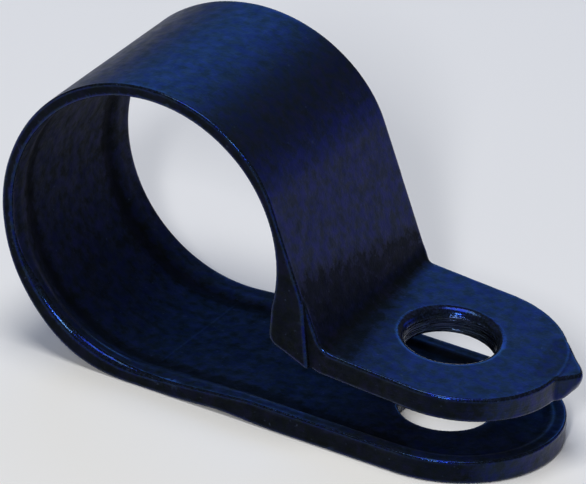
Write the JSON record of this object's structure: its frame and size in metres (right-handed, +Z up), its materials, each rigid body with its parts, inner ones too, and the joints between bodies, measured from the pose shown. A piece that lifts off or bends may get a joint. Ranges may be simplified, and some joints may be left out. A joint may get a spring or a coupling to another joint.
{
  "type": "p clip",
  "caption": "One-piece moulded nylon clip: a round loop for a cable bundle and two flat tabs that close together under one screw.",
  "frame": {"origin": "on the axis of the screw hole, in the plane of the flat mounting underside of the lower tab", "axes": "+Z up along the screw hole, away from the surface the clip is fixed to; +X from the loop towards the tab tips; +Y across the strap, parallel to the loop's axis"},
  "size_m": [0.0326, 0.0128, 0.0181],
  "materials": {
    "nylon": "black moulded nylon, fine semi-matt surface"
  },
  "bodies": {
    "root": {"p_clip": "nylon"}
  },
  "joints": []
}
